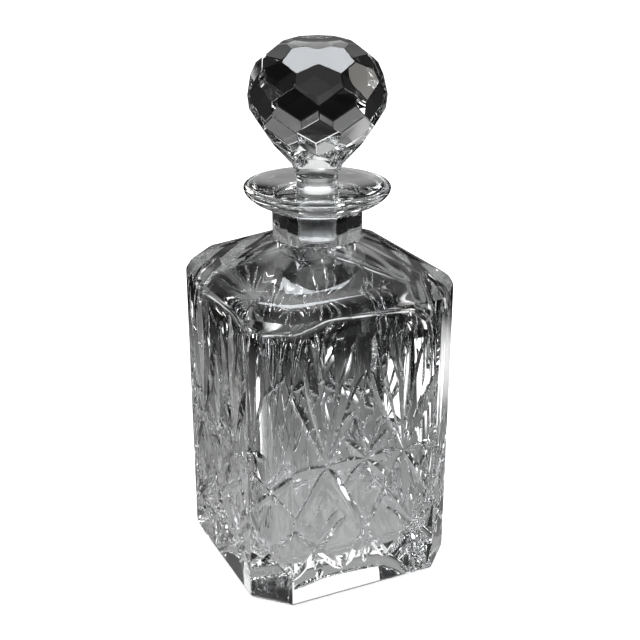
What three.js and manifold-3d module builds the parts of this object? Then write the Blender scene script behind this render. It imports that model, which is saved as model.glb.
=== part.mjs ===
// Cut crystal decanter: a thick square bottle with wheel-cut faces, and a faceted ball stopper on its plug.
// Millimetres, +Z up. The origin is the centre of the foot, and the wide faces look along X and Y.
import * as THREE from 'three';
import { ConvexGeometry } from 'three/addons/geometries/ConvexGeometry.js';
import { mergeVertices } from 'three/addons/utils/BufferGeometryUtils.js';
import Module from 'manifold-3d';

// Bottle body
const BODY_SIDE = 96;             // across the flat faces
const CORNER_CUT = 13.9;          // taken off each corner, measured along a face
const CORNER_SHARE = 0.6;         // how much the corner cut shrinks where the outline is inset
const FOOT_EDGE = 1.4;            // bevel round the foot
const WALL_TOP = 130;             // where the upright faces end
const SHOULDER_EDGE = 135.6;      // top of the rolled edge above the faces
const SHOULDER_INSET = 3.6;       // how far that edge lies inside the faces
const NECK_BASE = 148.5;
const NECK_RADIUS = 19.1;
const LIP_RADIUS = 31;
const LIP_TOP = 171.2;
const LIP_DEPTH = 10.2;           // from the rim down to where the neck starts to flare
const MOUTH_DROP = 2.2;           // depth of the dished top, from rim to mouth
const MOUTH_EASE = 0.8;           // rounding where the bore meets the dish
// Hollow inside
const WALL = 7.5;
const FLOOR = 14;
const FLOOR_ROUND = 4;            // rounding where the floor meets the walls
const INNER_CORNER = 17;
const CAVITY_SHOULDER = 126;
const CAVITY_TOP = 143;
const BORE_BASE = CAVITY_TOP + 3; // where the taper of the bore starts
const BORE_FOOT = 7.9;            // bore radius where it opens into the cavity
const BORE_MOUTH = 9.15;          // bore radius at the mouth
const BORE_TOP = LIP_TOP - MOUTH_DROP - MOUTH_EASE;
// Stopper
const GAP = 0.35;                 // clearance between ground plug and bore
const PLUG_END = 148.2;
const PLUG_EDGE = 1;              // bevel on the plug's lower end
const STEM_FOOT = 174.2;
const STEM_TOP = 180;             // the ring where the stem meets the ball
const STEM_RADIUS = 11;
const BALL_CENTRE = 206.7;
const BALL_RADIUS = 31;           // of the rough ball before it is ground flat
const BALL_TOP = 233;
const BALL_CONE = [21.5, 191.3];  // radius and height where the cone above the stem ends
const TABLE = 23.8;               // flat top facet, above the ball's centre
const FACETS_PER_ROW = 9;
const FIRST_FACET = -114;         // degrees from +X, the way one facet of the second row faces
// Each row of ball facets: latitude in degrees, distance from the centre, turn in half steps
const FACET_ROWS = [
  { latitude: 72.8, distance: 25.65, turn: 0 },
  { latitude: 52, distance: 26.5, turn: 1 },
  { latitude: 23.9, distance: 27.4, turn: 0 },
  { latitude: -5.7, distance: 26.75, turn: 1 },
  { latitude: -32.9, distance: 25.4, turn: 0 },
];
// Wheel cuts
const STAR_HEIGHT = 64;           // the row of fan centres across each face
const FAN_OFFSET = 18;            // from the middle of the face to each outer fan centre
const LIFT = 1;                   // how far a cutter stands out of the glass
// Spears of one fan: [across, up] of the tip, width, depth
const SPEARS = [
  { tip: [18.5, 127], width: 7, depth: 2.2 },
  { tip: [6, 117], width: 5, depth: 1.7 },
  { tip: [28.5, 117], width: 5, depth: 1.7 },
  { tip: [0.8, 104], width: 4, depth: 1.5 },
  { tip: [33.5, 98], width: 4, depth: 1.5 },
];
const SPEAR_WIDEST = 0.62;        // where a spear is widest, as a share of its length
const MITRE = { width: 3, depth: 1.3 };
const CORNER_MITRE = { width: 2.6, depth: 1.1 };

const GLASS = { color: 0xeef2f4, roughness: 0.03, metalness: 0, transparent: true, opacity: 0.4 };

const wasm = await Module();
wasm.setup();

const degrees = (angle) => THREE.MathUtils.degToRad(angle);

function solid(geometry) {
  const bare = geometry.clone();
  bare.deleteAttribute('normal');
  bare.deleteAttribute('uv');
  const merged = mergeVertices(bare, 1e-4);
  return new wasm.Manifold(new wasm.Mesh({
    numProp: 3,
    vertProperties: new Float32Array(merged.attributes.position.array),
    triVerts: new Uint32Array(merged.index.array),
  }));
}

function piece(name, body) {
  const { vertProperties, triVerts } = body.getMesh();
  const geometry = new THREE.BufferGeometry();
  geometry.setAttribute('position', new THREE.BufferAttribute(vertProperties, 3));
  geometry.setIndex(new THREE.BufferAttribute(triVerts, 1));
  geometry.computeVertexNormals();
  const mesh = new THREE.Mesh(geometry, new THREE.MeshStandardMaterial({ ...GLASS }));
  mesh.name = name;
  return mesh;
}

// Revolves [radius, height] points about Z; the profile starts and ends on the axis or closes on itself.
function turned(profile, segments = 36) {
  const lathe = new THREE.LatheGeometry(profile.map(([r, z]) => new THREE.Vector2(r, z)), segments);
  return solid(lathe.rotateX(Math.PI / 2));
}

// The square with cut corners, at height z.
function outline(half, corner, z) {
  const flat = half - corner;
  const points = [];
  for (let side = 0; side < 4; side += 1) {
    const [c, s] = [[1, 0], [0, 1], [-1, 0], [0, -1]][side];
    for (const across of [-flat, flat]) {
      points.push(new THREE.Vector3(c * half - s * across, s * half + c * across, z));
    }
  }
  return points;
}

function circle(radius, z, segments = 32) {
  return Array.from({ length: segments }, (_, i) => {
    const angle = (i / segments) * 2 * Math.PI;
    return new THREE.Vector3(radius * Math.cos(angle), radius * Math.sin(angle), z);
  });
}

const hull = (...groups) => solid(new ConvexGeometry(groups.flat()));

function bottleOutside() {
  const half = BODY_SIDE / 2;
  const inset = (amount, z) => outline(half - amount, CORNER_CUT - amount * CORNER_SHARE, z);
  const body = hull(
    inset(FOOT_EDGE, 0),
    inset(0, FOOT_EDGE),
    inset(0, WALL_TOP),
    inset(SHOULDER_INSET, SHOULDER_EDGE),
    circle(NECK_RADIUS, NECK_BASE),
  );
  const mouth = LIP_TOP - MOUTH_DROP;
  const neck = turned([
    [0, NECK_BASE - 6], [NECK_RADIUS, NECK_BASE - 6], [NECK_RADIUS, LIP_TOP - LIP_DEPTH],
    [24, LIP_TOP - 7.9], [27.5, LIP_TOP - 6.2], [30, LIP_TOP - 3.9],
    [LIP_RADIUS, LIP_TOP - 2], [LIP_RADIUS - 0.1, LIP_TOP - 0.9], [LIP_RADIUS - 0.9, LIP_TOP],
    [24, LIP_TOP - 1], [BORE_MOUTH + 1, mouth], [0, mouth],
  ], 48);
  return body.add(neck);
}

function hollow() {
  const half = BODY_SIDE / 2 - WALL;
  const room = hull(
    outline(half - FLOOR_ROUND, INNER_CORNER - FLOOR_ROUND / 2, FLOOR),
    outline(half, INNER_CORNER, FLOOR + FLOOR_ROUND),
    outline(half, INNER_CORNER, CAVITY_SHOULDER),
    circle(BORE_FOOT + 1.4, CAVITY_TOP),
  );
  const bore = turned([
    [0, CAVITY_TOP - 3], [BORE_FOOT + 2, CAVITY_TOP - 3], [BORE_FOOT, BORE_BASE],
    [BORE_MOUTH, BORE_TOP], [BORE_MOUTH + MOUTH_EASE, BORE_TOP + MOUTH_EASE],
    [BORE_MOUTH + MOUTH_EASE, LIP_TOP + LIFT], [0, LIP_TOP + LIFT],
  ]);
  return room.add(bore);
}

// Points along a line drawn on a wall, from one [u, v] to another. place() turns wall coordinates
// (u across, v up, w out of the glass) into a point of the bottle.
function along(place, [u1, v1], [u2, v2]) {
  const [du, dv] = [u2 - u1, v2 - v1];
  const length = Math.hypot(du, dv);
  const at = (share, across, w) => place(
    u1 + du * share - (dv / length) * across,
    v1 + dv * share + (du / length) * across,
    w,
  );
  return { at, length };
}

// A wheel cut that is pointed at both ends, V-shaped and deepest where it is widest.
function leaf(place, start, end, width, depth, widest = 0.5) {
  const { at } = along(place, start, end);
  const swell = (width / 2) * (1 + LIFT / depth);
  return hull([
    at(0, 0, 0), at(1, 0, 0), at(widest, 0, -depth),
    at(widest, swell, LIFT), at(widest, -swell, LIFT), at(0.02, 0, LIFT), at(0.98, 0, LIFT),
  ]);
}

// A long straight cut of even width with pointed ends.
function mitre(place, start, end, { width, depth }) {
  const { at, length } = along(place, start, end);
  const swell = (width / 2) * (1 + LIFT / depth);
  const run = width / length;
  return hull([
    at(0, 0, 0), at(1, 0, 0), at(run, 0, -depth), at(1 - run, 0, -depth),
    at(run, swell, LIFT), at(run, -swell, LIFT), at(1 - run, swell, LIFT), at(1 - run, -swell, LIFT),
  ]);
}

// The star and its two fans, with the crossed mitres and small leaves under them.
function faceCuts(place) {
  const star = [0, STAR_HEIGHT];
  const cuts = [
    leaf(place, star, [0, 105], 5.5, 1.8, 0.55),
    leaf(place, star, [0, 45], 5, 1.7),
  ];
  for (const side of [-1, 1]) {
    const fan = [side * FAN_OFFSET, STAR_HEIGHT];
    for (const { tip: [u, v], width, depth } of SPEARS) {
      cuts.push(leaf(place, fan, [side * u, v], width, depth, SPEAR_WIDEST));
    }
    cuts.push(leaf(place, star, fan, 4.5, 1.6));
    for (const rise of [-11, 11]) {
      cuts.push(leaf(place, star, [side * 10, STAR_HEIGHT + rise], 3.6, 1.3));
    }
    cuts.push(leaf(place, fan, [side * 33.5, STAR_HEIGHT], 4, 1.4));
    cuts.push(mitre(place, fan, [side * -9, 14], MITRE));
    cuts.push(mitre(place, fan, [side * 35, 36], MITRE));
    cuts.push(mitre(place, [side * 35, 37], [side * 11, 13], MITRE));
    cuts.push(mitre(place, [side * 9, 38], [side * 35, 13], MITRE));
    for (const [lean, tip] of [[-8, 44], [0, 48], [8, 44]]) {
      cuts.push(leaf(place, [side * 22, 31], [side * 22 + lean, tip], 3.4, 1.3));
    }
  }
  return cuts;
}

// Two crossed pairs of mitres, one above the other, on a cut corner.
function cornerCuts(place) {
  const edge = 10.4;
  const pairs = [[62.5, 43], [36, 15.5]];
  return pairs.flatMap(([high, low]) => [-edge, edge].map(
    (u) => mitre(place, [u, high], [-u, low], CORNER_MITRE),
  ));
}

// Every cut of all four faces and all four corners, as one cutter.
function wheelCuts() {
  const half = BODY_SIDE / 2;
  const cornerDistance = (2 * half - CORNER_CUT) / Math.SQRT2;
  const cutters = [];
  const wall = (angle, distance) => (u, v, w) => new THREE.Vector3(
    (distance + w) * Math.cos(angle) - u * Math.sin(angle),
    (distance + w) * Math.sin(angle) + u * Math.cos(angle),
    v,
  );
  for (let quarter = 0; quarter < 4; quarter += 1) {
    cutters.push(...faceCuts(wall(degrees(90 * quarter), half)));
    cutters.push(...cornerCuts(wall(degrees(90 * quarter + 45), cornerDistance)));
  }
  return cutters.reduce((all, cutter) => all.add(cutter));
}

function bottle() {
  return bottleOutside().subtract(hollow()).subtract(wheelCuts());
}

// A big block whose lower face lies across the given direction, to grind one flat facet.
function grinder(latitude, longitude, distance) {
  const size = 3 * BALL_RADIUS;
  const block = new THREE.BoxGeometry(size, size, size);
  block.translate(0, 0, distance + size / 2);
  block.rotateY(degrees(90 - latitude));
  block.rotateZ(degrees(longitude));
  block.translate(0, 0, BALL_CENTRE);
  return solid(block);
}

// The rough ball, a cone below and round above, with its table and rows of facets ground flat.
function ball() {
  const rough = turned([
    [0, STEM_TOP], [STEM_RADIUS, STEM_TOP], BALL_CONE,
    [BALL_RADIUS, BALL_CENTRE - 6], [BALL_RADIUS, BALL_CENTRE + 10],
    [BALL_RADIUS - 5, BALL_TOP], [0, BALL_TOP],
  ], 48);
  let ground = rough.subtract(grinder(90, 0, TABLE));
  const step = 360 / FACETS_PER_ROW;
  for (const { latitude, distance, turn } of FACET_ROWS) {
    for (let i = 0; i < FACETS_PER_ROW; i += 1) {
      ground = ground.subtract(grinder(latitude, FIRST_FACET + (i + turn / 2) * step, distance));
    }
  }
  return ground;
}

// The plug follows the bore's taper, GAP inside it, and widens above the mouth into the stem.
function plug() {
  const taper = (BORE_MOUTH - BORE_FOOT) / (BORE_TOP - BORE_BASE);
  const radius = (z) => BORE_FOOT + taper * (z - BORE_BASE) - GAP;
  return turned([
    [0, PLUG_END], [radius(PLUG_END) - PLUG_EDGE, PLUG_END],
    [radius(PLUG_END + PLUG_EDGE), PLUG_END + PLUG_EDGE],
    [radius(BORE_TOP), BORE_TOP], [radius(BORE_TOP), STEM_FOOT],
    [STEM_RADIUS, STEM_TOP], [STEM_RADIUS + 0.4, STEM_TOP + 1], [0, STEM_TOP + 1],
  ]);
}

const decanter = new THREE.Group();
decanter.add(piece('bottle', bottle()));
decanter.add(piece('stopper', ball().add(plug())));

export default decanter;
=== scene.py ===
"""Cut crystal decanter: a thick square bottle with wheel-cut faces and a faceted ball stopper."""
import math

import bmesh
import bpy
from mathutils import Matrix, Vector


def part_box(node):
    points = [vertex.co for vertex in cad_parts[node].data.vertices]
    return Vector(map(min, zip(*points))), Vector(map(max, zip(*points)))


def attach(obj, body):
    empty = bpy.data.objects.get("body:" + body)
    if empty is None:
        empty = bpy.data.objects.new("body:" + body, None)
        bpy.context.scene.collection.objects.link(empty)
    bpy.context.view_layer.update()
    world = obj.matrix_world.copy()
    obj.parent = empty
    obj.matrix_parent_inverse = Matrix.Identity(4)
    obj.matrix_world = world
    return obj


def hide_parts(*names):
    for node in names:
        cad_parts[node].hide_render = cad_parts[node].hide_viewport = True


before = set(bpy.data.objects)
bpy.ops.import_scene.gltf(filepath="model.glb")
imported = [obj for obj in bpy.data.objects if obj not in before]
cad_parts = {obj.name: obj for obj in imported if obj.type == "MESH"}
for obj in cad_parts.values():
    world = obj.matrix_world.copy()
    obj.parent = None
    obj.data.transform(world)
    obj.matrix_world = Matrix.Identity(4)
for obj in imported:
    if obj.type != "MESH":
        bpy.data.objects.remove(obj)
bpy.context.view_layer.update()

bl_info = {
    "name": "Cut Crystal Decanter",
    "version": (1, 0, 0),
    "blender": (4, 5, 0),
    "location": "3D View > Sidebar > Decanter",
    "description": "Builds a square cut crystal decanter with a faceted ball stopper",
    "category": "Add Mesh",
}

MM = 0.001
BOTTLE_LOW, BOTTLE_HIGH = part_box("bottle")
STOPPER_LOW, STOPPER_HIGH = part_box("stopper")
SHARP_ANGLE = math.radians(14)
FACET_ANGLE = math.radians(9)
STOPPER_SHARP_ANGLE = math.radians(5)
FLAT_ANGLE = math.radians(0.5)
MERGE_DISTANCE = 1e-6
ROUND_STEPS = 144
# the bore, from where it leaves the hollow up to the mouth
BORE_FOOT_RADIUS = 7.95 * MM
BORE_MOUTH_RADIUS = 9.2 * MM
BORE_FOOT_DROP = 2.0 * MM         # below the base of the neck
MOUTH_DROP = 3.3 * MM             # below the rim of the lip


# ---------------------------------------------------------------- sizes and colours

class BottleSizes(bpy.types.PropertyGroup):
    """Sizes of the bottle that a maker would change."""

    side: bpy.props.FloatProperty(
        name="Body width", description="Across the flat faces",
        default=BOTTLE_HIGH.x - BOTTLE_LOW.x, unit="LENGTH")
    corner_cut: bpy.props.FloatProperty(
        name="Corner cut", description="Taken off each corner, measured along a face",
        default=13.9 * MM, unit="LENGTH")
    wall_top: bpy.props.FloatProperty(
        name="Wall height", description="Where the upright faces end",
        default=130 * MM, unit="LENGTH")
    neck_base: bpy.props.FloatProperty(
        name="Neck base", description="Height where the shoulder meets the neck",
        default=148.5 * MM, unit="LENGTH")
    neck_radius: bpy.props.FloatProperty(
        name="Neck radius", description="Outside radius of the neck",
        default=19.1 * MM, unit="LENGTH")
    lip_radius: bpy.props.FloatProperty(
        name="Lip radius", description="Outside radius of the everted lip",
        default=31 * MM, unit="LENGTH")
    lip_top: bpy.props.FloatProperty(
        name="Lip height", description="Highest point of the lip's rim",
        default=BOTTLE_HIGH.z, unit="LENGTH")
    wall: bpy.props.FloatProperty(
        name="Wall", description="Thickness of the upright walls",
        default=7.5 * MM, unit="LENGTH")
    floor: bpy.props.FloatProperty(
        name="Foot thickness", description="Solid glass under the hollow",
        default=14 * MM, unit="LENGTH")
    groove: bpy.props.FloatProperty(
        name="Cut depth", description="Depth of the deepest wheel cuts, relative to their drawing",
        default=1.0, subtype="FACTOR", min=0.5, max=1.4)


class StopperSizes(bpy.types.PropertyGroup):
    """Sizes of the stopper that a maker would change."""

    centre: bpy.props.FloatProperty(
        name="Ball centre", description="Height of the ball's centre",
        default=206.7 * MM, unit="LENGTH")
    table: bpy.props.FloatProperty(
        name="Table", description="Height of the flat top facet",
        default=STOPPER_HIGH.z, unit="LENGTH")
    facets: bpy.props.IntProperty(
        name="Facets", description="Facets in each row round the ball",
        default=9, min=5, max=16)
    first_facet: bpy.props.FloatProperty(
        name="First facet", description="The way one facet of the second row faces",
        default=math.radians(-114), subtype="ANGLE")
    plug_end: bpy.props.FloatProperty(
        name="Plug end", description="Height of the plug's lower end",
        default=STOPPER_LOW.z, unit="LENGTH")
    clearance: bpy.props.FloatProperty(
        name="Clearance", description="Gap between the ground plug and the bore",
        default=0.35 * MM, unit="LENGTH")
    edge: bpy.props.FloatProperty(
        name="Polished edge", description="Width of the softened edge between facets",
        default=0.7 * MM, unit="LENGTH")


class GlassLook(bpy.types.PropertyGroup):
    """Colour and finish of the crystal."""

    tint: bpy.props.FloatVectorProperty(
        name="Tint", description="Body colour of the crystal",
        default=(0.985, 0.992, 0.995), subtype="COLOR", min=0, max=1)
    ior: bpy.props.FloatProperty(
        name="Refractive index", description="Lead crystal bends light more than plain glass",
        default=1.55, min=1.4, max=1.7)
    polish: bpy.props.FloatProperty(
        name="Polish", description="Roughness of the polished surfaces",
        default=0.004, subtype="FACTOR", min=0, max=0.2)
    ground: bpy.props.FloatProperty(
        name="Ground finish", description="Roughness of the ground plug",
        default=0.32, subtype="FACTOR", min=0, max=1)


class StudioSetup(bpy.types.PropertyGroup):
    """Camera, floor and lights."""

    azimuth: bpy.props.FloatProperty(
        name="Azimuth", description="The camera's turn from -Y towards -X",
        default=math.radians(25.44), subtype="ANGLE")
    elevation: bpy.props.FloatProperty(
        name="Elevation", description="The camera's height above the horizon",
        default=math.radians(22.36), subtype="ANGLE")
    distance: bpy.props.FloatProperty(
        name="Distance", description="From the camera to the point it looks at",
        default=0.5154, unit="LENGTH")
    target: bpy.props.FloatProperty(
        name="Target height", description="Height of the point the camera looks at",
        default=0.1006, unit="LENGTH")
    backdrop: bpy.props.FloatVectorProperty(
        name="Backdrop", description="Colour of the plain backdrop",
        default=(1.0, 1.0, 1.0), subtype="COLOR", min=0, max=1)
    floor_colour: bpy.props.FloatVectorProperty(
        name="Floor", description="Colour of the plain pale floor",
        default=(0.92, 0.92, 0.92), subtype="COLOR", min=0, max=1)


# ---------------------------------------------------------------- mesh work

def new_object(name, verts, faces):
    mesh = bpy.data.meshes.new(name)
    mesh.from_pydata([tuple(v) for v in verts], [], faces)
    mesh.validate()
    obj = bpy.data.objects.new(name, mesh)
    bpy.context.scene.collection.objects.link(obj)
    return obj


def loft(name, rings):
    """A closed skin over rings of points, from the bottom up and anticlockwise seen from above.
    A ring of one point closes an end."""
    verts = []
    spans = []
    faces = []
    for ring in rings:
        spans.append((len(verts), len(ring)))
        verts.extend(ring)
    for (low, low_count), (high, high_count) in zip(spans, spans[1:]):
        count = max(low_count, high_count)
        for i in range(count):
            j = (i + 1) % count
            corners = [low + i % low_count, low + j % low_count]
            corners += [high + j % high_count, high + i % high_count]
            faces.append(list(dict.fromkeys(corners)))
    for start, count in (spans[0], spans[-1]):
        if count > 1:
            cap = list(range(start, start + count))
            faces.append(cap[::-1] if start == 0 else cap)
    return new_object(name, verts, faces)


def smooth_line(points, steps):
    """Points on a smooth curve through the given [radius, height, ...] points (Catmull-Rom)."""
    line = []
    last = len(points) - 1
    for i in range(last):
        p = [Vector(points[max(0, min(last, i + k))]) for k in (-1, 0, 1, 2)]
        for s in range(steps):
            t = s / steps
            slope = (p[2] - p[0]) * t
            bend = (2 * p[0] - 5 * p[1] + 4 * p[2] - p[3]) * t ** 2
            twist = (3 * p[1] - p[0] - 3 * p[2] + p[3]) * t ** 3
            line.append(0.5 * (2 * p[1] + slope + bend + twist))
    line.append(Vector(points[last]))
    return line


def circle(radius, height, angles):
    return [Vector((radius * math.cos(a), radius * math.sin(a), height)) for a in angles]


def combine(target, other, operation):
    """Joins other to target, or cuts it out, and removes other."""
    modifier = target.modifiers.new("combine", "BOOLEAN")
    modifier.operation = operation
    modifier.solver = "MANIFOLD"
    modifier.object = other
    graph = bpy.context.evaluated_depsgraph_get()
    made = bpy.data.meshes.new_from_object(target.evaluated_get(graph))
    target.modifiers.clear()
    old = target.data
    target.data = made
    bpy.data.meshes.remove(old)
    bpy.data.objects.remove(other)
    if not made.polygons:
        raise RuntimeError(f"{target.name}: the {operation} left nothing")
    return target


def finish_shading(obj, angle):
    """Smooth curves and crisp cut edges."""
    work = bmesh.new()
    work.from_mesh(obj.data)
    bmesh.ops.remove_doubles(work, verts=work.verts, dist=MERGE_DISTANCE)
    bmesh.ops.dissolve_degenerate(work, edges=work.edges, dist=MERGE_DISTANCE)
    for face in work.faces:
        face.smooth = True
    for edge in work.edges:
        edge.smooth = not (len(edge.link_faces) == 2 and edge.calc_face_angle(0) > angle)
    work.to_mesh(obj.data)
    work.free()


# ---------------------------------------------------------------- the bottle's skin

LONG_STEPS = 14
SHORT_STEPS = 6
EDGE_SOFT = 0.4 * MM
CORNER_SHARE = 0.6                # how much the corner cut shrinks where the outline is inset
SHOULDER_STEPS = 8
FOOT_BEVEL = ((1.5, 0), (0.7, 0.35), (0.2, 0.9), (0, 1.6))     # inset, height in millimetres
# rolled edge above the flat faces: inset, rise in millimetres
ROLL = ((0.0, 0.0), (0.55, 1.35), (1.25, 2.65), (2.15, 3.9), (3.3, 5.0), (4.7, 5.95), (6.3, 6.7),
        (8.0, 7.35))
# unevenness inside the shoulder: waves round the bottle, millimetres of height, start, share
WAVES = ((2, 1.9, 0.0, 1.0), (3, -1.3, 1.3, 0.7), (5, 3.1, 0.0, 0.5))
WAVE_DEPTH = 0.2 * MM
WAVE_LEAST_RADIUS = 5 * MM
WAVED_TOP = 144                   # the unevenness fades out towards this height, in millimetres
WAVED_TOP_FADE = 14
WAVED_FOOT = 112
WAVED_FOOT_FADE = 10


def canted_square(half, cut, height):
    """The square with cut corners, each corner of the outline slightly eased."""
    flat = half - cut
    turn_in = EDGE_SOFT / math.sqrt(2)
    quarter = []
    for i in range(LONG_STEPS + 1):
        quarter.append((half, -flat + EDGE_SOFT + (2 * flat - 2 * EDGE_SOFT) * i / LONG_STEPS))
    start = (half - turn_in, flat + turn_in)
    end = (flat + turn_in, half - turn_in)
    for i in range(SHORT_STEPS + 1):
        t = i / SHORT_STEPS
        quarter.append((start[0] + (end[0] - start[0]) * t, start[1] + (end[1] - start[1]) * t))
    ring = []
    for side in range(4):
        c, s = ((1, 0), (0, 1), (-1, 0), (0, -1))[side]
        ring += [Vector((c * x - s * y, s * x + c * y, height)) for x, y in quarter]
    return ring


def rounded_square(half, power, height, angles):
    """A superellipse: power 2 is a circle, and a high power is nearly a square."""
    ring = []
    for a in angles:
        reach = half / (abs(math.cos(a)) ** power + abs(math.sin(a)) ** power) ** (1 / power)
        ring.append(Vector((reach * math.cos(a), reach * math.sin(a), height)))
    return ring


def blown(ring):
    """The slight unevenness of glass that was blown against air and not ground."""
    height = ring[0].z / MM
    under_neck = min(max((WAVED_TOP - height) / WAVED_TOP_FADE, 0), 1)
    above_walls = min(max((height - WAVED_FOOT) / WAVED_FOOT_FADE, 0), 1)
    amount = WAVE_DEPTH * (under_neck * above_walls)
    uneven = []
    for p in ring:
        a = math.atan2(p.y, p.x)
        wave = sum(share * math.sin(turns * a + height / pitch + start)
                   for turns, pitch, start, share in WAVES)
        scale = 1 + amount * wave / max(math.hypot(p.x, p.y), WAVE_LEAST_RADIUS)
        uneven.append(Vector((p.x * scale, p.y * scale, p.z)))
    return uneven


def between(ring_a, ring_b, t):
    return [a.lerp(b, t) for a, b in zip(ring_a, ring_b)]


def bottle_skin(sizes):
    half = sizes.side / 2
    cut = sizes.corner_cut
    wall_ring = canted_square(half, cut, 0)
    angles = [math.atan2(p.y, p.x) for p in wall_ring]
    rings = [[Vector((0, 0, 0))]]
    # foot: flat, with a small rounded bevel
    for inset, height in FOOT_BEVEL:
        inset *= MM
        rings.append(canted_square(half - inset, cut - CORNER_SHARE * inset, height * MM))
    for inset, rise in ROLL:
        inset *= MM
        rings.append(canted_square(half - inset, cut - CORNER_SHARE * inset, sizes.wall_top + rise * MM))
    shoulder_edge = rings[-1]
    # shoulder: straight from the rolled edge to the neck
    neck_ring = circle(sizes.neck_radius + 0.5 * MM, sizes.neck_base, angles)
    for i in range(1, SHOULDER_STEPS + 1):
        rings.append(between(shoulder_edge, neck_ring, i / SHOULDER_STEPS))
    top = sizes.lip_top
    lip = sizes.lip_radius
    neck = sizes.neck_radius
    outside = [(neck, sizes.neck_base + 0.6 * MM), (neck, top - 11 * MM),
               (neck + 0.25 * MM, top - 10.2 * MM)]
    rings += [circle(r, z, angles) for r, z in outside]
    # lip: up its underside, over the rim and down the dished top into the mouth
    lip_line = [(neck + 0.9 * MM, top - 9.6 * MM), (24 * MM, top - 7.9 * MM), (27.5 * MM, top - 6.0 * MM),
                (30 * MM, top - 3.7 * MM), (lip, top - 1.7 * MM), (lip - 0.3 * MM, top - 0.5 * MM),
                (lip - 1.3 * MM, top), (lip - 3.5 * MM, top - 0.3 * MM), (20 * MM, top - 1.3 * MM),
                (11 * MM, top - 2.2 * MM), (9.9 * MM, top - 2.5 * MM), (BORE_MOUTH_RADIUS, top - MOUTH_DROP)]
    rings += [circle(p.x, p.y, angles) for p in smooth_line(lip_line, 4)]
    rings.append(circle(BORE_FOOT_RADIUS, sizes.neck_base - BORE_FOOT_DROP, angles))
    # hollow: radius and height in millimetres, and how square it is, from the bore down to the floor
    inner = (half - sizes.wall) / MM
    low = sizes.floor / MM
    hollow = [(8.0, 2.0, sizes.neck_base / MM - 2.4), (8.5, 2.0, 144.6), (10.6, 2.0, 142.8),
              (16, 2.02, 140.4), (23, 2.12, 137.0), (30.5, 2.5, 132.6), (36.5, 3.3, 127.4),
              (39.6, 4.4, 121.0), (inner, 5.2, 112)]
    foot = [(inner, 5.2, low + 12), (inner - 0.5, 5.1, low + 7), (inner - 2.4, 4.8, low + 3),
            (inner - 6, 4.4, low + 0.9), (inner - 12, 4, low + 0.1), (18, 3, low + 0.3), (6, 2.2, low + 0.7)]
    for p in smooth_line(hollow, 6):
        rings.append(blown(rounded_square(p.x * MM, p.y, p.z * MM, angles)))
    for p in smooth_line(foot, 3):
        rings.append(rounded_square(p.x * MM, p.y, p.z * MM, angles))
    rings.append([Vector((0, 0, (low + 0.75) * MM))])
    return loft("bottle_glass", rings)


# ---------------------------------------------------------------- wheel cuts

LIFT = 0.5 * MM
LIP_DEPTH = 0.2 * MM
LIP_SLOPE = 0.4
LIP_SHARE = 0.35                  # the most of a shallow cut's depth that its lip may take
CUT_STEPS = 18


def wheel_cut(name, start, end, width, depth, shape):
    """A cutter lying in a wall: u across, v up, w out of the glass. Its section is a V whose upper edges
    flare, which leaves the softened lip that polishing gives a cut. shape(t) is the cut's share of full
    width and depth along its length."""
    run = Vector(end) - Vector(start)
    across = Vector((-run.y, run.x)).normalized()
    slope = 2 * depth / width
    verts = []
    faces = []
    for i in range(CUT_STEPS + 1):
        t = i / CUT_STEPS
        share = max(shape(t), 0.0)
        middle = Vector(start) + run * t
        lip = min(LIP_DEPTH, LIP_SHARE * share * depth)
        inner = (share * depth - lip) / slope
        outer = inner + (lip + LIFT) / (slope * LIP_SLOPE)
        outline = ((0, -share * depth), (inner, -lip), (outer, LIFT), (-outer, LIFT), (-inner, -lip))
        for reach, height in outline:
            spot = middle + across * reach
            verts.append((spot.x, spot.y, height))
    section = len(outline)
    for i in range(CUT_STEPS):
        a = section * i
        for j in range(section):
            k = (j + 1) % section
            faces.append((a + j, a + k, a + section + k, a + section + j))
    faces.append(tuple(reversed(range(section))))
    faces.append(tuple(range(section * CUT_STEPS, section * (CUT_STEPS + 1))))
    return new_object(name, verts, faces)


def leaf_shape(widest):
    power = math.log(0.5) / math.log(widest)
    return lambda t: math.sin(math.pi * t ** power) ** 0.9 if 0 < t < 1 else 0.0


def band_shape(ends):
    def shape(t):
        near = min(t, 1 - t) / ends
        return 1.0 if near >= 1 else math.sin(near * math.pi / 2)
    return shape


STAR = 64.0                       # height of the row of fan centres, in millimetres
FAN = 18.0                        # from the middle of the face to each outer fan centre
LEAF_STEEP = 0.31                 # depth over width
MITRE_STEEP = 0.38
SPEAR_WIDEST = 0.63               # where a spear is widest, as a share of its length
SPEARS = ((18.6, 127.5, 8.0), (6.4, 118, 6.4), (28.6, 118, 6.4), (0.6, 105, 5.4), (34, 99, 5.2))


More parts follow.
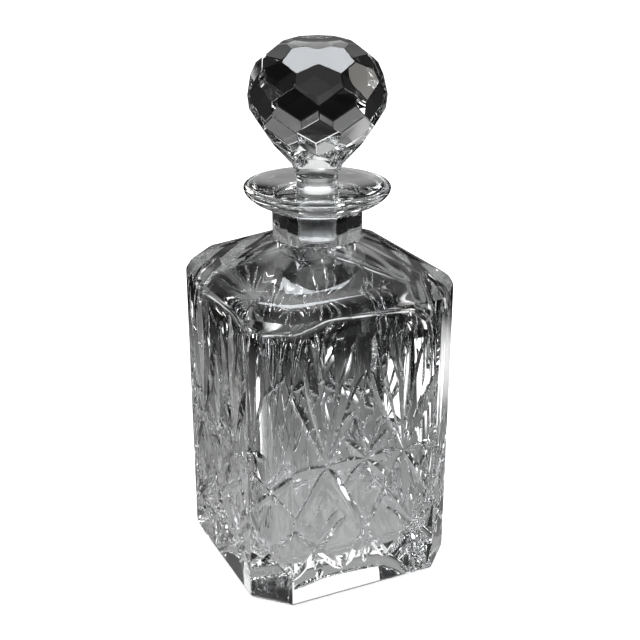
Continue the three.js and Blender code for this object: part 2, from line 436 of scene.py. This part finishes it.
def face_cuts():
    """(start, end, width, depth over width, shape) of every cut on one wide face, in millimetres from
    the face's foot centre."""
    cuts = []

    def leaf(start, end, width, widest=0.5):
        cuts.append((start, end, width, LEAF_STEEP, leaf_shape(widest)))

    def mitre(start, end, width, taper):
        cuts.append((start, end, width, MITRE_STEEP, band_shape(taper)))

    star = (0, STAR)
    leaf(star, (0, 105), 6.4, 0.55)
    leaf(star, (0, 44.5), 5.8)
    leaf((0, 27), (0, 13), 4.0)
    for side in (-1, 1):
        fan = (side * FAN, STAR)
        for u, v, width in SPEARS:
            leaf(fan, (side * u, v), width, SPEAR_WIDEST)
        leaf(star, fan, 5.4)
        for lean in (-1, 1):
            leaf(star, (side * 10.5, STAR + lean * 11.5), 4.6)
        leaf(fan, (side * 34.5, STAR), 5.0)
        mitre(fan, (side * -9.3, 13.5), 3.6, 0.12)
        mitre(fan, (side * 35.5, 35.5), 3.6, 0.16)
        mitre((side * 35, 38), (side * 10.5, 13), 3.4, 0.14)
        mitre((side * 9, 39), (side * 35, 13), 3.4, 0.14)
        for lean, reach in ((-9, 12.5), (0, 17), (9, 12.5)):
            leaf((side * 22, 30.5), (side * 22 + lean, 30.5 + reach), 4.2)
        leaf((side * 22, 20), (side * 22, 10.5), 3.6)
    return cuts


def corner_cuts():
    """The same for one canted corner."""
    cuts = []
    for side in (-1, 1):
        edge = side * 10.6
        for high, low in ((63, 43), (36.5, 14.5)):
            cuts.append(((edge, high), (-edge, low), 3.4, MITRE_STEEP, band_shape(0.14)))
    cuts.append(((0, 50), (0, 30), 4.0, LEAF_STEEP, leaf_shape(0.5)))
    return cuts


def cutter_block(name, cuts, deeper):
    """One cutter holding all the given cuts, in the plane of the wall."""
    block = None
    for i, (start, end, width, steep, shape) in enumerate(cuts):
        one = wheel_cut(f"{name}_{i}", [c * MM for c in start], [c * MM for c in end],
                        width * MM, width * steep * MM * deeper, shape)
        block = one if block is None else combine(block, one, "UNION")
    return block


def against_wall(block, turn, distance):
    """A copy of the block stood against the wall that faces the angle turn."""
    copy = block.copy()
    copy.data = block.data.copy()
    bpy.context.scene.collection.objects.link(copy)
    outward = Vector((math.cos(turn), math.sin(turn), 0))
    sideways = Vector((-outward.y, outward.x, 0))
    place = Matrix((sideways, (0, 0, 1), outward)).transposed().to_4x4()
    place.translation = outward * distance
    copy.data.transform(place)
    return copy


# ---------------------------------------------------------------- the stopper

FACET_ROWS = (
    # latitude, distance from the ball's centre, turn in half steps
    (72.8, 25.65, 0),
    (52.0, 26.5, 1),
    (23.9, 27.4, 0),
    (-5.7, 26.75, 1),
    (-32.9, 25.4, 0),
)
STEM_FOOT = 174.5 * MM
STEM_TOP = 181 * MM               # inside the ball


def stopper_ball(sizes):
    """A ball turned round, then ground flat row by row."""
    angles = [2 * math.pi * i / ROUND_STEPS for i in range(ROUND_STEPS)]
    centre = sizes.centre
    profile = [(11.0, -26.7), (16.4, -20.6), (21.6, -15.2), (27, -9), (31, -2), (31, 10), (26, 20), (16, 27)]
    rings = [[Vector((0, 0, centre + profile[0][1] * MM))]]
    rings += [circle(r * MM, centre + z * MM, angles) for r, z in profile]
    rings.append([Vector((0, 0, centre + profile[-1][1] * MM))])
    ball = loft("stopper_glass", rings)
    work = bmesh.new()
    work.from_mesh(ball.data)
    planes = [(Vector((0, 0, 1)), sizes.table - centre)]
    step = 2 * math.pi / sizes.facets
    for latitude, distance, turn in FACET_ROWS:
        lift = math.radians(latitude)
        for i in range(sizes.facets):
            a = sizes.first_facet + (i + turn / 2) * step
            flat = math.cos(lift)
            normal = Vector((flat * math.cos(a), flat * math.sin(a), math.sin(lift)))
            planes.append((normal, distance * MM))
    for normal, distance in planes:
        everything = work.verts[:] + work.edges[:] + work.faces[:]
        cut = bmesh.ops.bisect_plane(
            work, geom=everything, dist=1e-7, plane_co=Vector((0, 0, centre)) + normal * distance,
            plane_no=normal, clear_outer=True)
        rim = [e for e in cut["geom_cut"] if isinstance(e, bmesh.types.BMEdge)]
        bmesh.ops.contextual_create(work, geom=rim)
    bmesh.ops.dissolve_limit(work, angle_limit=FLAT_ANGLE, verts=work.verts, edges=work.edges)
    crisp = [e for e in work.edges if e.calc_face_angle(0) > FACET_ANGLE]
    bmesh.ops.bevel(work, geom=crisp, offset=sizes.edge / 2, offset_type="OFFSET", segments=3, profile=0.5,
                    affect="EDGES", clamp_overlap=True)
    work.to_mesh(ball.data)
    work.free()
    return ball


def build_stopper(sizes, bottle):
    ball = stopper_ball(sizes)
    angles = [2 * math.pi * i / ROUND_STEPS for i in range(ROUND_STEPS)]
    mouth = bottle.lip_top - MOUTH_DROP
    bore_foot = bottle.neck_base - BORE_FOOT_DROP
    taper = (BORE_MOUTH_RADIUS - BORE_FOOT_RADIUS) / (mouth - bore_foot)
    end = sizes.plug_end
    plug = BORE_FOOT_RADIUS + taper * (end - bore_foot) - sizes.clearance
    stem = BORE_MOUTH_RADIUS - sizes.clearance
    profile = [(plug - 1.4 * MM, end), (plug - 0.5 * MM, end + 0.25 * MM), (plug, end + 1.0 * MM),
               (stem, mouth), (stem, STEM_FOOT - 0.6 * MM), (stem + 0.15 * MM, STEM_FOOT)]
    flare = [(stem + 0.15 * MM, STEM_FOOT), (9.35 * MM, 176.2 * MM), (10.1 * MM, 178.2 * MM),
             (10.85 * MM, 179.9 * MM), (11.35 * MM, STEM_TOP)]
    profile += [(p.x, p.y) for p in smooth_line(flare, 3)][1:]
    rings = [[Vector((0, 0, end))]]
    rings += [circle(r, z, angles) for r, z in profile]
    rings.append([Vector((0, 0, STEM_TOP))])
    return combine(ball, loft("plug", rings), "UNION")


# ---------------------------------------------------------------- crystal

def maths(nodes, link, operation, *values):
    node = nodes.new("ShaderNodeMath")
    node.operation = operation
    for slot, value in zip(node.inputs, values):
        if isinstance(value, (int, float)):
            slot.default_value = value
        else:
            link(value, slot)
    return node.outputs[0]


def map_range(nodes, link, value, low, high, to_low, to_high):
    node = nodes.new("ShaderNodeMapRange")
    node.interpolation_type = "SMOOTHSTEP"
    for key, number in (("From Min", low), ("From Max", high), ("To Min", to_low), ("To Max", to_high)):
        node.inputs[key].default_value = number
    link(value, node.inputs["Value"])
    return node.outputs["Result"]


PATCH_SCALE = 38.0
PATCH_EDGE = (0.56, 0.72)
HAZE_SCALE = 420.0
HAZE_EDGE = (0.35, 0.75)
GRAIN_SCALE = 2600.0
GRAIN = (0.3, 0.85)               # spread and least of the matt zone's grain
RIPPLE_DEPTH = 0.6 * MM
RIPPLE = 0.12
GROUND_LOW = 0.1                  # below the plug's lower end
GROUND_DROP = 3 * MM              # the matt zone ends this far below the rim of the lip


def crystal_surface_group():
    """Fine wear, smudges and polishing ripple of hand-finished crystal, with a matt ground zone."""
    name = "Crystal Surface"
    if name in bpy.data.node_groups:
        return bpy.data.node_groups[name]
    group = bpy.data.node_groups.new(name, "ShaderNodeTree")
    sockets = group.interface
    for label, default, lowest, highest in (
            ("Polish", 0.004, 0, 0.2), ("Smudges", 0.03, 0, 0.4), ("Ripple", 0.15, 0, 1),
            ("Ripple Scale", 55.0, 1, 500), ("Ground", 0.3, 0, 1), ("Ground Low", -1.0, -1, 1),
            ("Ground High", -0.9, -1, 1)):
        socket = sockets.new_socket(label, in_out="INPUT", socket_type="NodeSocketFloat")
        socket.default_value = default
        socket.min_value = lowest
        socket.max_value = highest
    sockets.new_socket("Roughness", in_out="OUTPUT", socket_type="NodeSocketFloat")
    sockets.new_socket("Normal", in_out="OUTPUT", socket_type="NodeSocketVector")
    nodes = group.nodes
    link = group.links.new
    put_in = nodes.new("NodeGroupInput")
    put_out = nodes.new("NodeGroupOutput")
    place = nodes.new("ShaderNodeTexCoord")

    def noise(scale, detail):
        node = nodes.new("ShaderNodeTexNoise")
        node.inputs["Scale"].default_value = scale
        node.inputs["Detail"].default_value = detail
        link(place.outputs["Object"], node.inputs["Vector"])
        return node

    # smudges: broad patches left by hands and cloths, and a finer haze inside them
    patches = map_range(nodes, link, noise(PATCH_SCALE, 3.0).outputs["Fac"], *PATCH_EDGE, 0.0, 1.0)
    haze = map_range(nodes, link, noise(HAZE_SCALE, 2.0).outputs["Fac"], *HAZE_EDGE, 0.0, 1.0)
    smudge = maths(nodes, link, "MULTIPLY", patches, haze)
    smudge = maths(nodes, link, "MULTIPLY", smudge, put_in.outputs["Smudges"])
    rough = maths(nodes, link, "ADD", smudge, put_in.outputs["Polish"])
    # ground zone: from the plug's lower end up to where the polished stem starts
    axis = nodes.new("ShaderNodeSeparateXYZ")
    link(place.outputs["Object"], axis.inputs[0])
    below = maths(nodes, link, "LESS_THAN", axis.outputs["Z"], put_in.outputs["Ground High"])
    above = maths(nodes, link, "GREATER_THAN", axis.outputs["Z"], put_in.outputs["Ground Low"])
    grain = maths(nodes, link, "MULTIPLY_ADD", noise(GRAIN_SCALE, 1.0).outputs["Fac"], *GRAIN)
    ground = maths(nodes, link, "MULTIPLY", maths(nodes, link, "MULTIPLY", below, above), grain)
    ground = maths(nodes, link, "MULTIPLY", ground, put_in.outputs["Ground"])
    link(maths(nodes, link, "MAXIMUM", rough, ground), put_out.inputs["Roughness"])
    # ripple: the slight waviness that hand polishing leaves
    wave = noise(1.0, 1.0)
    link(put_in.outputs["Ripple Scale"], wave.inputs["Scale"])
    bump = nodes.new("ShaderNodeBump")
    bump.inputs["Distance"].default_value = RIPPLE_DEPTH
    link(put_in.outputs["Ripple"], bump.inputs["Strength"])
    link(wave.outputs["Fac"], bump.inputs["Height"])
    link(bump.outputs["Normal"], put_out.inputs["Normal"])
    return group


def crystal(name, look, ground=0.0, ground_low=0.0, ground_high=0.0):
    """Clear crystal, matt between the two heights where ground is above nought."""
    material = bpy.data.materials.new(name)
    material.use_nodes = True
    nodes = material.node_tree.nodes
    link = material.node_tree.links.new
    shader = nodes["Principled BSDF"]
    shader.inputs["Base Color"].default_value = (*look.tint, 1)
    shader.inputs["Transmission Weight"].default_value = 1.0
    shader.inputs["Metallic"].default_value = 0.0
    shader.inputs["IOR"].default_value = look.ior
    surface = nodes.new("ShaderNodeGroup")
    surface.node_tree = crystal_surface_group()
    surface.inputs["Polish"].default_value = look.polish
    surface.inputs["Ground"].default_value = ground
    surface.inputs["Ground Low"].default_value = ground_low
    surface.inputs["Ground High"].default_value = ground_high
    surface.inputs["Ripple"].default_value = RIPPLE
    link(surface.outputs["Roughness"], shader.inputs["Roughness"])
    link(surface.outputs["Normal"], shader.inputs["Normal"])
    return material


# ---------------------------------------------------------------- the steps

class DECANTER_OT_bottle(bpy.types.Operator):
    """Builds the bottle: blown body, hollow, neck and lip, with its wheel cuts"""
    bl_idname = "decanter.bottle"
    bl_label = "Bottle"

    def execute(self, context):
        sizes = context.scene.decanter_bottle
        look = context.scene.decanter_glass
        glass = bottle_skin(sizes)
        face_block = cutter_block("face_cuts", face_cuts(), sizes.groove)
        corner_block = cutter_block("corner_cuts", corner_cuts(), sizes.groove)
        face_distance = sizes.side / 2
        corner_distance = (sizes.side - sizes.corner_cut) / math.sqrt(2)
        for quarter in range(4):
            turn = quarter * math.pi / 2
            glass = combine(glass, against_wall(face_block, turn, face_distance), "DIFFERENCE")
            corner = against_wall(corner_block, turn + math.pi / 4, corner_distance)
            glass = combine(glass, corner, "DIFFERENCE")
        for block in (face_block, corner_block):
            bpy.data.objects.remove(block)
        finish_shading(glass, SHARP_ANGLE)
        glass.data.materials.clear()
        glass.data.materials.append(crystal("bottle_crystal", look))
        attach(glass, "bottle")
        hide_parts("bottle")
        return {"FINISHED"}


class DECANTER_OT_stopper(bpy.types.Operator):
    """Builds the stopper: faceted ball, stem and ground plug"""
    bl_idname = "decanter.stopper"
    bl_label = "Stopper"

    def execute(self, context):
        sizes = context.scene.decanter_stopper
        bottle = context.scene.decanter_bottle
        look = context.scene.decanter_glass
        glass = build_stopper(sizes, bottle)
        finish_shading(glass, STOPPER_SHARP_ANGLE)
        glass.data.materials.clear()
        glass.data.materials.append(crystal("stopper_crystal", look, look.ground, GROUND_LOW,
                                            bottle.lip_top - GROUND_DROP))
        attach(glass, "stopper")
        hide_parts("stopper")
        return {"FINISHED"}


def soft_box(name, place, aim, width, height, power, colour, turn):
    light = bpy.data.lights.new(name, "AREA")
    light.shape = "RECTANGLE"
    light.size = width
    light.size_y = height
    light.energy = power
    light.color = colour
    obj = bpy.data.objects.new(name, light)
    bpy.context.scene.collection.objects.link(obj)
    obj.location = place
    facing = (Vector(aim) - Vector(place)).to_track_quat("-Z", "Y").to_matrix()
    obj.rotation_euler = (Matrix.Rotation(math.radians(turn), 3, "Z") @ facing).to_euler()
    obj.visible_camera = False


# name, place, aim, width, height, power, colour, turn in degrees
SOFT_BOXES = (
    ("overhead", (0.06, 0.087, 0.95), (0.06, 0.087, 0), 0.66, 0.22, 4.4, (0.92, 0.96, 1.0), -22.6),
    ("left_strip", (-0.8, 0.0, 0.40), (0, 0, 0.1), 0.2, 0.5, 1.0, (0.9, 0.95, 1.0), 0),
    ("right_strip", (0.8, -0.3, 0.35), (0, 0, 0.1), 0.2, 0.5, 1.0, (1.0, 0.97, 0.92), 0),
    ("left_slim", (-0.8, 0.45, 0.3), (0, 0, 0.1), 0.05, 0.3, 0.25, (1.0, 1.0, 1.0), 0),
    ("right_slim", (0.55, -0.75, 0.3), (0, 0, 0.1), 0.05, 0.3, 0.25, (1.0, 1.0, 1.0), 0),
)
FLOOR_HALF = 3.0
FLOOR_DROP = 0.6 * MM
FLOOR_ROUGHNESS = 0.9
# each soft change is: from, to, value before, value after, in metres from the middle of the foot
# the floor's painted glow, weaker near the foot and full far off, so that it meets the white backdrop
FLOOR_GLOW = (0.05, 0.45, 0.72, 1.0)
# painted pool of light on the table that the glass sees, brightest near the foot, then fading out
PAINTED_POOL_NEAR = (0.05, 0.15, 0.36, 0.17)
PAINTED_POOL_FADE = (0.16, 0.28, 1.0, 0.03)
# glowing cards painted on the table beside the bottle, seen only by the glass: their middles, soft edge and
# brightness
PAINTED_GLOW_CARDS = ((0.29, 0.0, 0), (-0.29, -0.02, 0))
GLOW_CARD_EDGE = (0.09, 0.13)
GLOW_CARD_LIGHT = 2.4


def pale_floor_painted_light(setup):
    """A pale floor with a painted glow, weaker near the foot, so that it fades into the backdrop. The glass
    sees a painted dark table in its place, with a painted pool of light close to the foot and two glowing
    painted cards.
    """
    outline = ((-1, -1), (1, -1), (1, 1), (-1, 1))
    corners = [(x * FLOOR_HALF, y * FLOOR_HALF, -FLOOR_DROP) for x, y in outline]
    floor = new_object("floor", corners, [(0, 1, 2, 3)])
    paint = bpy.data.materials.new("pale_floor_painted_light")
    paint.use_nodes = True
    nodes = paint.node_tree.nodes
    link = paint.node_tree.links.new
    pale = nodes["Principled BSDF"]
    pale.inputs["Base Color"].default_value = (*setup.floor_colour, 1)
    pale.inputs["Roughness"].default_value = FLOOR_ROUGHNESS
    # painted glow: the floor gives off light in the backdrop's colour
    pale.inputs["Emission Color"].default_value = (*setup.backdrop, 1)
    place = nodes.new("ShaderNodeTexCoord")
    length = nodes.new("ShaderNodeVectorMath")
    length.operation = "LENGTH"
    link(place.outputs["Object"], length.inputs[0])
    away = length.outputs["Value"]
    link(map_range(nodes, link, away, *FLOOR_GLOW), pale.inputs["Emission Strength"])
    # painted light: to the glass the floor is an emission-only dark table, with a painted pool of light near
    # the foot and glowing painted cards beside it
    table = nodes.new("ShaderNodeEmission")
    near = map_range(nodes, link, away, *PAINTED_POOL_NEAR)
    painted_glow = maths(nodes, link, "MULTIPLY", near, map_range(nodes, link, away, *PAINTED_POOL_FADE))
    for spot in PAINTED_GLOW_CARDS:
        to_glow_card = nodes.new("ShaderNodeVectorMath")
        to_glow_card.operation = "DISTANCE"
        to_glow_card.inputs[1].default_value = spot
        link(place.outputs["Object"], to_glow_card.inputs[0])
        glow_card = map_range(nodes, link, to_glow_card.outputs["Value"], *GLOW_CARD_EDGE, GLOW_CARD_LIGHT, 0.0)
        painted_glow = maths(nodes, link, "ADD", painted_glow, glow_card)
    link(painted_glow, table.inputs["Strength"])
    # camera rays see the pale floor, all other rays the painted table
    path = nodes.new("ShaderNodeLightPath")
    mix = nodes.new("ShaderNodeMixShader")
    link(path.outputs["Is Camera Ray"], mix.inputs[0])
    link(table.outputs[0], mix.inputs[1])
    link(pale.outputs[0], mix.inputs[2])
    link(mix.outputs[0], nodes["Material Output"].inputs["Surface"])
    floor.data.materials.append(paint)
    return floor


# soft changes by how steeply the glass looks up: the sine of the angle, as from, to, before, after
LOW_RING = (0.2, 0.3, 0.02, 0.22)
RING_TOP = (0.37, 0.45, 1.0, 0.05)
CEILING = (0.7, 0.96, 0.0, 0.9)
# large soft lights far off: bearing and height of the middle, edge and core radius in degrees, strength
WINDOWS = (
    (66, 40, 27, 18, 1.15),
    (-125, 47, 24, 12, 0.6),
)


def dark_studio(setup):
    """White behind the decanter. The glass sees a plain dark studio with a soft ceiling and windows."""
    world = bpy.data.worlds.new("dark_studio")
    world.use_nodes = True
    nodes = world.node_tree.nodes
    link = world.node_tree.links.new
    place = nodes.new("ShaderNodeTexCoord")
    axis = nodes.new("ShaderNodeSeparateXYZ")
    link(place.outputs["Generated"], axis.inputs[0])
    low_ring = map_range(nodes, link, axis.outputs["Z"], *LOW_RING)
    ring_top = map_range(nodes, link, axis.outputs["Z"], *RING_TOP)
    light = maths(nodes, link, "MULTIPLY", low_ring, ring_top)
    light = maths(nodes, link, "ADD", light, map_range(nodes, link, axis.outputs["Z"], *CEILING))
    for bearing, height, edge, core, strength in WINDOWS:
        towards = nodes.new("ShaderNodeVectorMath")
        towards.operation = "DOT_PRODUCT"
        turn = math.radians(bearing)
        rise = math.radians(height)
        flat = math.cos(rise)
        towards.inputs[1].default_value = (math.cos(turn) * flat, math.sin(turn) * flat, math.sin(rise))
        link(place.outputs["Generated"], towards.inputs[0])
        low = math.cos(math.radians(edge))
        high = math.cos(math.radians(core))
        window = map_range(nodes, link, towards.outputs["Value"], low, high, 0.0, strength)
        light = maths(nodes, link, "ADD", light, window)
    path = nodes.new("ShaderNodeLightPath")
    mix = nodes.new("ShaderNodeMix")
    mix.data_type = "RGBA"
    link(light, mix.inputs["A"])
    mix.inputs["B"].default_value = (*setup.backdrop, 1)
    link(path.outputs["Is Camera Ray"], mix.inputs["Factor"])
    link(mix.outputs["Result"], nodes["Background"].inputs["Color"])
    return world


SENSOR_WIDTH = 36
LENS = 65.55
SHIFT = (0.0043, 0.0294)
BOUNCES = 24
MIRROR_BOUNCES = 12


class DECANTER_OT_stage(bpy.types.Operator):
    """Sets out the camera, the pale floor with its painted glow and painted table, and the soft lights"""
    bl_idname = "decanter.stage"
    bl_label = "Stage"

    def execute(self, context):
        setup = context.scene.decanter_studio
        scene = context.scene
        pale_floor_painted_light(setup)
        scene.world = dark_studio(setup)
        for box in SOFT_BOXES:
            soft_box(*box)
        # camera
        camera = bpy.data.cameras.new("camera")
        camera.sensor_width = SENSOR_WIDTH
        camera.lens = LENS
        camera.shift_x, camera.shift_y = SHIFT
        eye = bpy.data.objects.new("camera", camera)
        scene.collection.objects.link(eye)
        target = Vector((0, 0, setup.target))
        flat = math.cos(setup.elevation)
        away = Vector((-math.sin(setup.azimuth) * flat, -math.cos(setup.azimuth) * flat,
                       math.sin(setup.elevation)))
        eye.location = target + away * setup.distance
        eye.rotation_euler = (-away).to_track_quat("-Z", "Y").to_euler()
        scene.camera = eye
        scene.view_settings.view_transform = "Standard"
        scene.cycles.max_bounces = BOUNCES
        scene.cycles.transmission_bounces = BOUNCES
        scene.cycles.glossy_bounces = MIRROR_BOUNCES
        return {"FINISHED"}


class DECANTER_PT_panel(bpy.types.Panel):
    """Lists the steps and sizes of the decanter"""
    bl_label = "Decanter"
    bl_idname = "DECANTER_PT_panel"
    bl_space_type = "VIEW_3D"
    bl_region_type = "UI"
    bl_category = "Decanter"

    def draw(self, context):
        layout = self.layout
        for step in STEPS:
            layout.operator(step.bl_idname)
        for name, group in GROUPS.items():
            box = layout.box()
            box.label(text=group.__doc__)
            for key in group.__annotations__:
                box.prop(getattr(context.scene, name), key)


STEPS = (DECANTER_OT_bottle, DECANTER_OT_stopper, DECANTER_OT_stage)
GROUPS = {
    "decanter_bottle": BottleSizes,
    "decanter_stopper": StopperSizes,
    "decanter_glass": GlassLook,
    "decanter_studio": StudioSetup,
}


def register():
    for group in GROUPS.values():
        bpy.utils.register_class(group)
    for name, group in GROUPS.items():
        setattr(bpy.types.Scene, name, bpy.props.PointerProperty(type=group))
    for step in STEPS:
        bpy.utils.register_class(step)
    bpy.utils.register_class(DECANTER_PT_panel)


def unregister():
    bpy.utils.unregister_class(DECANTER_PT_panel)
    for step in reversed(STEPS):
        bpy.utils.unregister_class(step)
    for name in GROUPS:
        delattr(bpy.types.Scene, name)
    for group in reversed(GROUPS.values()):
        bpy.utils.unregister_class(group)


def main():
    register()
    bpy.ops.decanter.bottle()
    bpy.ops.decanter.stopper()
    bpy.ops.decanter.stage()


if __name__ == "__main__":
    main()
